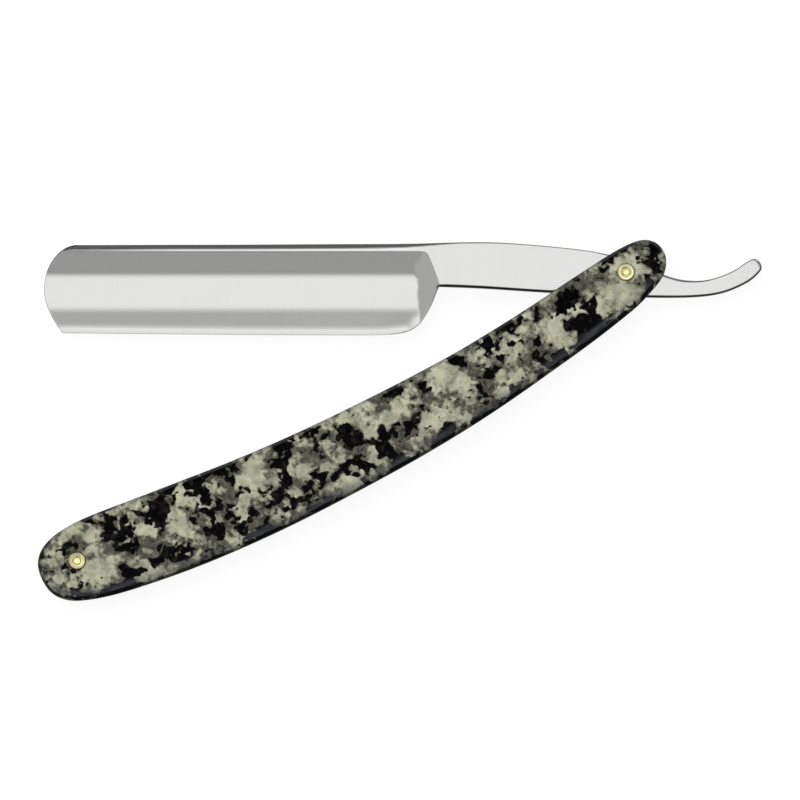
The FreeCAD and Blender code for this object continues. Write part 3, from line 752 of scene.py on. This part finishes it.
# --------------------------------------------------------------- materials
class Net:
    """Shortcuts for building a node tree."""

    def __init__(self, tree):
        self.tree = tree
        tree.nodes.clear()

    def fill(self, node, inputs):
        for key, value in inputs.items():
            if isinstance(value, bpy.types.NodeSocket):
                self.tree.links.new(value, node.inputs[key])
            else:
                node.inputs[key].default_value = value
        return node

    def new(self, kind, inputs=None, **settings):
        node = self.tree.nodes.new(kind)
        for key, value in settings.items():
            setattr(node, key, value)
        return self.fill(node, inputs or {})

    def math(self, operation, *values):
        return self.new("ShaderNodeMath", dict(enumerate(values)), operation=operation).outputs[0]

    def plus(self, value, more):
        return self.math("ADD", value, more)

    def times(self, value, by):
        return self.math("MULTIPLY", value, by)

    def weighted(self, *pairs):
        """The sum of (value, weight) pairs."""
        total = self.times(*pairs[0])
        for value, weight in pairs[1:]:
            total = self.plus(total, self.times(value, weight))
        return total

    def vector(self, operation, a, b):
        return self.new("ShaderNodeVectorMath", {0: a, 1: b}, operation=operation).outputs[0]

    def plan_distance(self, point, x, y):
        """Distance in millimetres from a plan place given about the pivot."""
        centre = (PIVOT[0] * 1000 + x, PIVOT[1] * 1000 + y, 0.0)
        return self.new("ShaderNodeVectorMath", {0: point, 1: centre},
                        operation="DISTANCE").outputs["Value"]

    def ramp(self, value, low, high, start=0.0, end=1.0, kind="SMOOTHSTEP"):
        """start below low, end above high."""
        return self.new("ShaderNodeMapRange", {0: value, 1: low, 2: high, 3: start, 4: end},
                        interpolation_type=kind, clamp=True).outputs[0]

    def linear(self, value, low, high, start=0.0, end=1.0):
        return self.ramp(value, low, high, start, end, kind="LINEAR")

    def mix(self, first, second, amount, blend="MIX"):
        """Mixes colours, each a socket or an (r, g, b) tuple."""
        first, second = (colour if isinstance(colour, bpy.types.NodeSocket) else (*colour, 1.0)
                         for colour in (first, second))
        return self.new("ShaderNodeMix", {0: amount, 6: first, 7: second},
                        data_type="RGBA", blend_type=blend).outputs[2]

    def mix_values(self, first, second, amount):
        return self.new("ShaderNodeMix", {0: amount, 2: first, 3: second},
                        data_type="FLOAT").outputs[0]

    def noise(self, point, detail, scale=1.0, rough=0.5, output=0):
        return self.new("ShaderNodeTexNoise", {"Vector": point, "Scale": scale,
                        "Detail": detail, "Roughness": rough}).outputs[output]

    def cells(self, point, scale, smoothness):
        return self.new("ShaderNodeTexVoronoi", {"Vector": point, "Scale": scale,
                        "Smoothness": smoothness}, feature="SMOOTH_F1").outputs[0]

    def mapping(self, point, scale=(1, 1, 1), move=(0, 0, 0), turn=0.0):
        """turn is about z, in degrees."""
        return self.new("ShaderNodeMapping", {0: point, "Location": move,
                        "Rotation": (0, 0, math.radians(turn)), "Scale": scale}).outputs[0]

    def in_mm(self, point):
        return self.mapping(point, scale=(1000, 1000, 1000))

    def warped(self, point, scale, detail, reach):
        """The point pushed about by noise, up to half of reach each way."""
        colour = self.noise(point, scale=scale, detail=detail, output="Color")
        push = self.vector("SUBTRACT", colour, (0.5, 0.5, 0.5))
        return self.vector("ADD", point, self.vector("MULTIPLY", push, (reach,) * 3))

    def attribute(self, name):
        return self.new("ShaderNodeAttribute", attribute_name=name).outputs["Fac"]

    def bump(self, height, strength, distance):
        return self.new("ShaderNodeBump", {"Height": height, "Strength": strength,
                        "Distance": distance}).outputs[0]


def new_material(name):
    """A material with one shader; also returns its object coordinates."""
    material = bpy.data.materials.new(name)
    material.use_nodes = True
    net = Net(material.node_tree)
    output = net.new("ShaderNodeOutputMaterial")
    shader = net.new("ShaderNodeBsdfPrincipled")
    net.fill(output, {0: shader.outputs[0]})
    return material, net, shader, net.new("ShaderNodeTexCoord").outputs["Object"]


def file_marks(net, place):
    """Crossed file marks on the tail, strongest towards its tip."""
    x = net.new("ShaderNodeSeparateXYZ", {0: place}).outputs[0]
    tail = net.ramp(x, low=PIVOT[0] + 0.019, high=PIVOT[0] + 0.026)
    first = net.noise(net.mapping(place, scale=(4200, 420, 420), turn=-58), detail=2.0)
    second = net.noise(net.mapping(place, scale=(420, 4200, 420), turn=-24), detail=2.0)
    marks = net.plus(net.ramp(first, low=0.50, high=0.62), net.ramp(second, low=0.52, high=0.64))
    return net.times(marks, tail)


def steel():
    painted_highlight_white = (1.0, 1.0, 0.99)
    band_grey = (0.30, 0.30, 0.30)
    painted_rim_shade_dark = (0.03, 0.03, 0.03)
    mark_grey = (0.35, 0.35, 0.35)
    material, net, shader, place = new_material("polished_steel")
    # grind lines run across the blade, as the wheel left them
    lines = net.noise(net.mapping(place, scale=(9000, 260, 260)), detail=3.0, rough=0.55)
    broad = net.noise(net.mapping(place, scale=(1500, 60, 60), move=(3.1, 0, 0)), detail=3.0)
    cloud = net.noise(net.mapping(place, scale=(60, 160, 160)), detail=2.0)
    tone = net.plus(net.weighted((lines, 0.030), (broad, 0.030), (cloud, 0.02)), more=0.845)
    base = net.new("ShaderNodeCombineColor", {0: tone, 1: net.times(tone, by=1.0),
                                              2: net.times(tone, by=0.992)}).outputs[0]
    band = net.attribute("band")
    # painted highlight beside the spine
    colour = net.mix(base, painted_highlight_white, amount=net.times(net.attribute("painted_spine_highlight"), by=0.9))
    colour = net.mix(colour, band_grey, amount=net.times(band, by=0.20))
    # painted shade on the rims, near black
    colour = net.mix(colour, painted_rim_shade_dark, amount=net.times(net.attribute("low"), by=0.94))
    colour = net.mix(colour, mark_grey, amount=net.times(file_marks(net, place), by=0.09))
    rough = net.plus(net.times(lines, by=0.05), more=0.035)
    relief = net.plus(lines, net.times(broad, by=0.7))
    net.fill(shader, {
        "Base Color": colour,
        "Metallic": 1.0,
        "Roughness": net.plus(rough, net.times(band, by=0.12)),
        "Normal": net.bump(relief, strength=0.12, distance=0.000004),
    })
    return material


# Where the ink pooled, and where it was drawn thin: plan place from the pivot
# (x, y), reach, and the ink added there
INK_SPOTS = (
    (6.7, 2.8, 2.8, 0.13), (3.5, -4.3, 1.9, 0.09), (-8.7, -11.3, 2.2, 0.10),
    (-18.3, -13.0, 2.3, 0.11), (-24.3, -19.9, 1.9, 0.08), (-59.0, -35.3, 2.5, 0.13),
    (-64.0, -43.9, 1.9, 0.12), (-80.5, -54.0, 3.2, 0.085), (-88.0, -57.6, 2.6, 0.08),
    (-101.9, -51.0, 3.0, 0.095), (-108.1, -58.5, 2.0, 0.11), (-120.7, -58.7, 2.8, 0.12),
    (-80.5, -44.5, 3.2, -0.11), (-52.6, -30.6, 3.4, -0.11), (-94.6, -57.6, 2.4, -0.08),
    (-110.9, -64.0, 2.8, -0.08), (-38.7, -26.3, 3.2, -0.07), (-4.6, -5.5, 3.0, -0.08),
)


def ink_amount(net, point, drifted, curled):
    """How much ink lies at each place: blots of 2 to 6 mm with scalloped edges."""
    ink = net.weighted(
        (net.noise(drifted, scale=0.18, detail=1.6, rough=0.45), 0.90),
        (net.noise(drifted, scale=0.52, detail=1.3), 0.58),
        (net.cells(curled, scale=0.80, smoothness=0.55), -0.17),
        (net.noise(point, scale=2.6, detail=3.0, rough=0.55), 0.05))
    level = net.vector("MULTIPLY", drifted, (1.0, 1.0, 0.0))
    for x, y, reach, amount in INK_SPOTS:
        distance = net.plan_distance(level, x, y)
        ink = net.plus(ink, net.ramp(distance, low=reach * 0.45, high=reach * 1.6,
                                     start=amount, end=0.0))
    # more ink along the rim, mostly on the convex side and the ends
    rim = net.ramp(net.attribute("rim"), low=0.5, high=2.4, start=0.075, end=0.0)
    share = net.mix_values(0.15, 1.0, amount=net.attribute("convex"))
    return net.plus(ink, net.times(rim, share))


def smoke_amount(net, point, drifted, ink):
    """Smoky zones, mostly round the blots."""
    broad = net.noise(net.mapping(drifted, move=(31, 7, 3)), scale=0.21, detail=2.0)
    ragged = net.noise(net.mapping(point, move=(5, 19, 2)), scale=0.95, detail=5.0, rough=0.66)
    return net.ramp(net.weighted((broad, 0.80), (ragged, 0.45), (ink, 0.80)),
                    low=1.02, high=1.22)


def speck_amount(net, point, curled):
    """Scattered round specks, often in small groups."""
    cell = net.new("ShaderNodeTexVoronoi", {"Vector": curled, "Scale": 0.80})
    pick = net.new("ShaderNodeSeparateColor", {0: cell.outputs["Color"]}).outputs[0]
    size = net.times(net.linear(pick, low=0.50, high=1.0), by=0.36)
    groups = net.ramp(net.noise(point, scale=0.33, detail=2.0), low=0.40, high=0.56)
    size = net.times(size, groups)
    return net.ramp(net.math("SUBTRACT", size, cell.outputs["Distance"]), low=-0.02, high=0.05)


def marble_colour(net, point, drifted, curled, fine, ink, black):
    """Pale cloudy ground, smoke, specks and ink, laid over one another."""
    ground_dark, ground_pale = (0.300, 0.303, 0.228), (0.540, 0.540, 0.395)
    ground_fleck = (0.215, 0.218, 0.165)
    smoke_green, smoke_brown = (0.090, 0.092, 0.068), (0.100, 0.078, 0.066)
    wisp_black, speck_black = (0.006, 0.006, 0.005), (0.008, 0.008, 0.008)
    ink_deep, ink_thin = (0.0010, 0.0010, 0.0014), (0.0120, 0.0115, 0.0100)
    smoke = smoke_amount(net, point, drifted, ink)
    speck = speck_amount(net, point, curled)
    cloud = net.noise(drifted, scale=0.36, detail=4.0, rough=0.6)
    ground = net.mix(ground_dark, ground_pale, amount=net.linear(cloud, low=0.36, high=0.58))
    flecks = net.times(net.linear(fine, low=0.38, high=0.68), by=0.22)
    ground = net.mix(ground, ground_fleck, amount=flecks)
    tint = net.noise(net.mapping(point, move=(11, 3, 8)), scale=0.30, detail=2.0)
    smoky = net.mix(smoke_green, smoke_brown, amount=net.ramp(tint, low=0.50, high=0.66))
    wisps = net.weighted((net.noise(curled, scale=0.9, detail=2.0), 0.62),
                         (net.noise(point, scale=2.8, detail=3.0, rough=0.6), 0.38))
    smoky = net.mix(smoky, wisp_black, amount=net.linear(wisps, low=0.40, high=0.62))
    colour = net.mix(ground, smoky, amount=net.times(smoke, by=0.92))
    colour = net.mix(colour, speck_black, amount=speck)
    # the ink itself is a little thin in places
    thin = net.ramp(net.noise(curled, scale=0.8, detail=3.0, rough=0.6), low=0.50, high=0.68)
    return net.mix(colour, net.mix(ink_deep, ink_thin, amount=thin), amount=black)


def painted_rim_sheen_and_shade(net, colour):
    """A painted sheen with streaks on the broad rounding, standing in for its reflection, and a
    painted dark rim, standing in for shade.
    """
    black, painted_sheen_grey, painted_rim_black = (0.0, 0.0, 0.0), (0.050, 0.053, 0.059), (0.003, 0.003, 0.004)
    rim = net.attribute("rim")
    convex = net.attribute("convex")
    unrolled = net.new("ShaderNodeCombineXYZ", {
        0: net.times(net.attribute("along"), by=0.22),
        1: net.times(rim, by=1.9)}).outputs[0]
    streak = net.noise(unrolled, detail=3.0, rough=0.55)
    # painted sheen on the convex side, a thinner painted light band on the concave side
    convex_painted_sheen = net.times(net.ramp(rim, low=0.75, high=1.15),
                      net.ramp(rim, low=1.6, high=2.9, start=1.0, end=0.0))
    convex_painted_sheen = net.times(convex_painted_sheen, net.linear(streak, low=0.36, high=0.62, start=0.35, end=1.0))
    convex_painted_sheen = net.times(convex_painted_sheen, convex)
    concave_painted_sheen = net.times(net.ramp(rim, low=0.10, high=0.22),
                     net.ramp(rim, low=0.40, high=0.85, start=1.0, end=0.0))
    concave_painted_sheen = net.times(concave_painted_sheen, net.math("SUBTRACT", 1.0, convex))
    lifted = net.mix(net.mix(colour, black, amount=0.52), painted_sheen_grey, amount=1.0, blend="ADD")
    lift = net.times(net.plus(convex_painted_sheen, net.times(concave_painted_sheen, by=0.60)), by=0.95)
    colour = net.mix(colour, lifted, amount=lift)
    # painted shade along the rim, wider on the convex side, mottled
    painted_rim_shade = net.mix_values(net.ramp(rim, low=0.04, high=0.18, start=0.85, end=0.0),
                           net.ramp(rim, low=0.50, high=1.15, start=0.90, end=0.0),
                           amount=convex)
    mottle = net.ramp(net.noise(unrolled, scale=2.2, detail=3.0, rough=0.6),
                      low=0.50, high=0.68, start=1.0, end=0.55)
    return net.mix(colour, painted_rim_black, amount=net.times(painted_rim_shade, mottle))


def washer_painted_shadow(net, place, colour):
    """A dark ring of painted shadow round the washers."""
    painted_shadow_black = (0.006, 0.005, 0.003)
    shift = 0.06        # the shadow falls a little towards +x and -y
    for pin in (PIVOT_PIN, WEDGE_PIN):
        centre = handle_to_plan(np.array([pin, 0.0]))
        flat = net.vector("MULTIPLY", place, (1000.0, 1000.0, 0.0))
        distance = net.plan_distance(flat, centre[0] + shift, centre[1] - shift)
        ring = net.ramp(distance, low=1.80, high=2.10, start=0.80, end=0.0)
        colour = net.mix(colour, painted_shadow_black, amount=ring)
    return colour


def acrylic():
    material, net, shader, place = new_material("marbled_acrylic")
    point = net.in_mm(place)
    drifted = net.warped(point, scale=0.40, detail=1.0, reach=2.6)
    curled = net.warped(point, scale=1.3, detail=2.0, reach=1.0)
    ink = ink_amount(net, point, drifted, curled)
    black = net.ramp(ink, low=0.722, high=0.756)
    fine = net.noise(point, scale=2.3, detail=3.0, rough=0.6)
    colour = marble_colour(net, point, drifted, curled, fine, ink, black)
    colour = washer_painted_shadow(net, place, painted_rim_sheen_and_shade(net, colour))
    relief = net.plus(net.times(fine, by=0.5), black)
    net.fill(shader, {
        "Base Color": colour,
        "Roughness": net.math("ADD", 0.09, net.times(fine, by=0.07)),
        "Specular IOR Level": 0.03,
        "Normal": net.bump(relief, strength=0.08, distance=0.00002),
    })
    return material


def brass(name, colour, rough, dent_height):
    """Brass with faint swirls, dents and tarnished spots; the dark rings at the
    grooves are tarnished metal with painted shade.
    """
    tarnish_and_shade_colour = (0.080, 0.062, 0.014)
    material, net, shader, place = new_material(name)
    point = net.in_mm(place)
    swirl = net.noise(point, scale=3.0, detail=4.0, rough=0.6)
    fine = net.noise(point, scale=18.0, detail=3.0, rough=0.6)
    dents = net.cells(point, scale=2.6, smoothness=0.6)
    darker = tuple(channel * 0.84 for channel in colour)
    metal = net.mix(colour, darker, amount=net.linear(swirl, low=0.42, high=0.74))
    spots = net.ramp(net.noise(point, scale=5.0, detail=3.0, rough=0.6),
                     low=0.62, high=0.74, start=0.0, end=0.14)
    patches = net.ramp(net.noise(point, scale=1.1, detail=2.0),
                       low=0.38, high=0.56, start=0.25, end=1.0)
    # dark groove rings, tarnished metal with painted shade, and tarnished spots
    tarnish_and_groove_shade = net.math("MAXIMUM", net.times(net.attribute("groove_tarnish_and_shade"), patches), spots)
    roughness = net.math("ADD", rough, net.times(fine, by=0.10))
    relief = net.weighted((dents, dent_height), (fine, 0.12))
    net.fill(shader, {
        "Base Color": net.mix(metal, tarnish_and_shade_colour, amount=tarnish_and_groove_shade),
        "Metallic": 1.0,
        "Roughness": net.plus(roughness, net.times(tarnish_and_groove_shade, by=0.2)),
        "Normal": net.bump(relief, strength=0.30, distance=0.00004),
    })
    return material


def black_plastic():
    black, worn = (0.010, 0.010, 0.011), (0.030, 0.030, 0.032)
    material, net, shader, place = new_material("black_spacer_plastic")
    fine = net.noise(net.in_mm(place), scale=5.0, detail=4.0, rough=0.6)
    sanding = net.noise(net.mapping(place, scale=(1000, 1000, 9000)),
                        scale=1.6, detail=3.0, rough=0.6)
    net.fill(shader, {
        "Base Color": net.mix(black, worn, amount=fine),
        "Roughness": net.math("ADD", 0.26, net.times(sanding, by=0.20)),
        "Specular IOR Level": 0.35,
        "Normal": net.bump(sanding, strength=0.25, distance=0.00003),
    })
    return material


STEEL = steel()
ACRYLIC = acrylic()
PIN = brass("pin_brass_peened", colour=(0.99, 0.92, 0.50), rough=0.14, dent_height=0.35)
WASHER = brass("washer_brass_polished", colour=(0.98, 0.91, 0.54), rough=0.12, dent_height=0.12)
THRUST = brass("thrust_brass_worn", colour=(0.72, 0.58, 0.30), rough=0.30, dent_height=0.2)
SPACER = black_plastic()


def dress(piece, material):
    piece.data.materials.clear()
    piece.data.materials.append(material)


dress(blade, STEEL)
for piece in scales:
    dress(piece, ACRYLIC)
for piece in brass_pieces:
    dress(piece, PIN if "_pin_" in piece.name else WASHER)
# these keep their CAD meshes, which may or may not have slots already
for node, material in (("wedge", SPACER), ("thrust_washer_front", THRUST),
                       ("thrust_washer_back", THRUST)):
    piece = frame["nodes"][node]
    if piece.material_slots:
        for slot in piece.material_slots:
            slot.material = material
    else:
        piece.data.materials.append(material)


# ------------------------------------------------------------------- floor
# all in metres
FLOOR_HALF, FLOOR_CELLS, FLOOR_Z = 7.0, 24, -0.00002


def floor_material():
    material = bpy.data.materials.new("pale_floor")
    material.use_nodes = True
    net = Net(material.node_tree)
    output = net.new("ShaderNodeOutputMaterial")
    diffuse = net.new("ShaderNodeBsdfDiffuse", {"Color": (0.16, 0.16, 0.16, 1)})
    # mirrors see a greyer floor, so polished faces stay readable against it
    glossy = net.new("ShaderNodeLightPath").outputs["Is Glossy Ray"]
    glow = net.new("ShaderNodeEmission", {
        "Color": (1, 1, 1, 1), "Strength": net.mix_values(0.88, 0.46, amount=glossy)})
    both = net.new("ShaderNodeAddShader", {0: diffuse.outputs[0], 1: glow.outputs[0]})
    net.fill(output, {0: both.outputs[0]})
    return material


def build_floor():
    mesh = bpy.data.meshes.new("floor")
    row = FLOOR_CELLS + 1
    ticks = [(i / FLOOR_CELLS - 0.5) * 2 * FLOOR_HALF for i in range(row)]
    verts = [(x, y, FLOOR_Z) for x in ticks for y in ticks]
    faces = [(i * row + j, (i + 1) * row + j, (i + 1) * row + j + 1, i * row + j + 1)
             for i in range(FLOOR_CELLS) for j in range(FLOOR_CELLS)]
    mesh.from_pydata(verts, [], faces)
    floor = bpy.data.objects.new("floor", mesh)
    bpy.context.scene.collection.objects.link(floor)
    mesh.materials.append(floor_material())


build_floor()

# ------------------------------------------------------------------- world
# Brightness overhead: (degrees from straight up towards +y, grey)
SKY = [
    (-90, .10), (-72, .14), (-62, .20), (-54, .28), (-49, .335), (-31.5, .34), (-29.8, .315),
    (-27.8, .43), (-25.9, .72), (-24.0, .825), (-21.5, .865), (2.2, .865), (5.0, .43),
    (18, .43), (24, .17), (62, .11), (90, .11),
]


def sky_ramp(net, degrees):
    """The grey of SKY at an angle of -90 to 90 degrees."""
    node = net.new("ShaderNodeValToRGB")
    node.color_ramp.interpolation = "LINEAR"
    stops = node.color_ramp.elements
    while len(stops) > 1:
        stops.remove(stops[-1])
    for k, (angle, grey) in enumerate(SKY):
        position = (angle + 90) / 180
        stop = stops.new(position) if k else stops[0]
        stop.position = position
        stop.color = (grey, grey, grey, 1)
    share = net.math("DIVIDE", net.plus(degrees, more=90.0), 180.0)
    return net.fill(node, {0: share}).outputs[0]


def build_world():
    left_grey, right_grey = (.41, .41, .41), (.45, .45, .45)
    panel_grey, horizon_grey, backdrop = (.66, .66, .665), (.86, .86, .865), (.93, .93, .935)
    world = bpy.data.worlds.new("studio")
    bpy.context.scene.world = world
    world.use_nodes = True
    net = Net(world.node_tree)
    output = net.new("ShaderNodeOutputWorld")
    background = net.new("ShaderNodeBackground")
    net.fill(output, {0: background.outputs[0]})
    direction = net.new("ShaderNodeTexCoord").outputs["Generated"]
    x, y, z = net.new("ShaderNodeSeparateXYZ", {0: direction}).outputs
    radians_per_degree = math.pi / 180
    lean_y = net.math("DIVIDE", net.math("ARCTAN2", y, z), radians_per_degree)
    lean_x = net.math("DIVIDE", net.math("ARCTAN2", x, z), radians_per_degree)
    colour = sky_ramp(net, lean_y)
    # greyer towards -x and towards +x
    left = net.times(net.ramp(lean_x, low=-18.0, high=-2.5, start=1.0, end=0.0),
                     net.ramp(lean_y, low=8.0, high=18.0, start=1.0, end=0.0))
    colour = net.mix(colour, left_grey, amount=left)
    colour = net.mix(colour, right_grey, amount=net.ramp(lean_x, low=26.0, high=32.0))
    # lighter panels to either side, out of the overhead view's reflections
    panels = net.times(net.ramp(net.math("ABSOLUTE", x), low=0.40, high=0.60),
                       net.ramp(y, low=0.10, high=0.30))
    colour = net.mix(colour, panel_grey, amount=panels)
    horizon = net.ramp(z, low=-0.02, high=0.07, start=1.0, end=0.0)
    colour = net.mix(colour, horizon_grey, amount=horizon)
    camera_ray = net.new("ShaderNodeLightPath").outputs["Is Camera Ray"]
    colour = net.mix(colour, backdrop, amount=camera_ray)
    net.fill(background, {"Color": colour, "Strength": 1.0})


build_world()


# ------------------------------------------------------------------ lights
def add_light(name, kind, direction, **settings):
    light = bpy.data.lights.new(name, kind)
    for key, value in settings.items():
        setattr(light, key, value)
    lamp = bpy.data.objects.new(name, light)
    bpy.context.scene.collection.objects.link(lamp)
    lamp.rotation_mode = "QUATERNION"
    lamp.rotation_quaternion = Vector(direction).to_track_quat("-Z", "Y")
    return lamp


# a broad panel overhead that brightens only the small brass fittings
panel = add_light("brass_panel", "AREA", direction=(0.0, 0.0, -1.30), shape="RECTANGLE",
                  size=2.0, size_y=2.0, energy=4.6, color=(1.0, 0.93, 0.68))
panel.location = (PIVOT[0] - 0.048, PIVOT[1] - 0.027, 1.30)
panel.visible_camera = False
receivers = bpy.data.collections.new("brass_panel_receivers")
for piece in brass_pieces:
    receivers.objects.link(piece)
panel.light_linking.receiver_collection = receivers

key = add_light("soft_key", "SUN", direction=(0.25, -0.35, -1.0),
                energy=1.9, angle=math.radians(50))
key.visible_glossy = False

# ------------------------------------------------------------------ camera
VIEW_WIDTH = 171.43                     # mm across the view at the pivot's height
VIEW_CENTRE = (-48.32, -27.41, 0.0)     # mm from the pivot
CAMERA_LIFT = 0.002                     # extra height in metres
camera_data = bpy.data.cameras.new("camera")
camera_data.lens = 300.0
camera_data.sensor_width = 36.0
camera_data.clip_start = 0.05
camera_data.clip_end = 20.0
camera = bpy.data.objects.new("camera", camera_data)
bpy.context.scene.collection.objects.link(camera)
view_distance = VIEW_WIDTH * MM * camera_data.lens / camera_data.sensor_width
centre = to_row(VIEW_CENTRE)
camera.location = (centre[0], centre[1], centre[2] + view_distance + CAMERA_LIFT)
scene = bpy.context.scene
scene.camera = camera
scene.view_settings.view_transform = "Standard"
scene.view_settings.look = "None"
